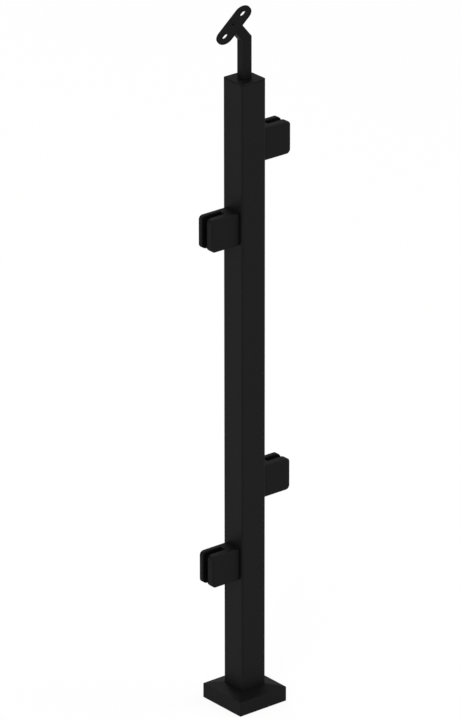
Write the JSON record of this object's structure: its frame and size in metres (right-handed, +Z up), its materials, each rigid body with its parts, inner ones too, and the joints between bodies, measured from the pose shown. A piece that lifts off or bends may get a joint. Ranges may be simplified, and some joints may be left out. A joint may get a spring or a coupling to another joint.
{
  "type": "stair railing post",
  "caption": "Square stair railing post on a covered base, with open glass clamps at stepped heights and a tilted handrail saddle on a mitred stem.",
  "frame": {"origin": "centre of the foot, on the floor", "axes": "+Z up the post, +X along the glass and up the stair, -Y the front, which the plain cheeks of the clamps face"},
  "size_m": [0.133, 0.08, 0.9947],
  "materials": {
    "powder_coat": "matt black powder coat",
    "black_oxide": "black oxide steel",
    "zinc_plate": "bright zinc plate",
    "rubber": "black rubber sheet"
  },
  "bodies": {
    "root": {"post_tube": "powder_coat", "base_flange": "powder_coat", "base_cover": "powder_coat", "top_cap": "powder_coat", "handrail_stem": "powder_coat", "saddle_plate": "powder_coat", "clamp_body_lower_left": "powder_coat", "clamp_cover_lower_left": "powder_coat", "clamp_body_upper_left": "powder_coat", "clamp_cover_upper_left": "powder_coat", "clamp_body_lower_right": "powder_coat", "clamp_cover_lower_right": "powder_coat", "clamp_body_upper_right": "powder_coat", "clamp_cover_upper_right": "powder_coat", "saddle_screw": "black_oxide", "clamp_bolt_lower_left": "black_oxide", "cover_screws_lower_left": "black_oxide", "clamp_bolt_upper_left": "black_oxide", "cover_screws_upper_left": "black_oxide", "clamp_bolt_lower_right": "black_oxide", "cover_screws_lower_right": "black_oxide", "clamp_bolt_upper_right": "black_oxide", "cover_screws_upper_right": "black_oxide", "stem_bolt": "zinc_plate", "rivet_nut_lower_left": "zinc_plate", "rivet_nut_upper_left": "zinc_plate", "rivet_nut_lower_right": "zinc_plate", "rivet_nut_upper_right": "zinc_plate", "gasket_front_lower_left": "rubber", "gasket_back_lower_left": "rubber", "gasket_front_upper_left": "rubber", "gasket_back_upper_left": "rubber", "gasket_front_lower_right": "rubber", "gasket_back_lower_right": "rubber", "gasket_front_upper_right": "rubber", "gasket_back_upper_right": "rubber"}
  },
  "joints": []
}
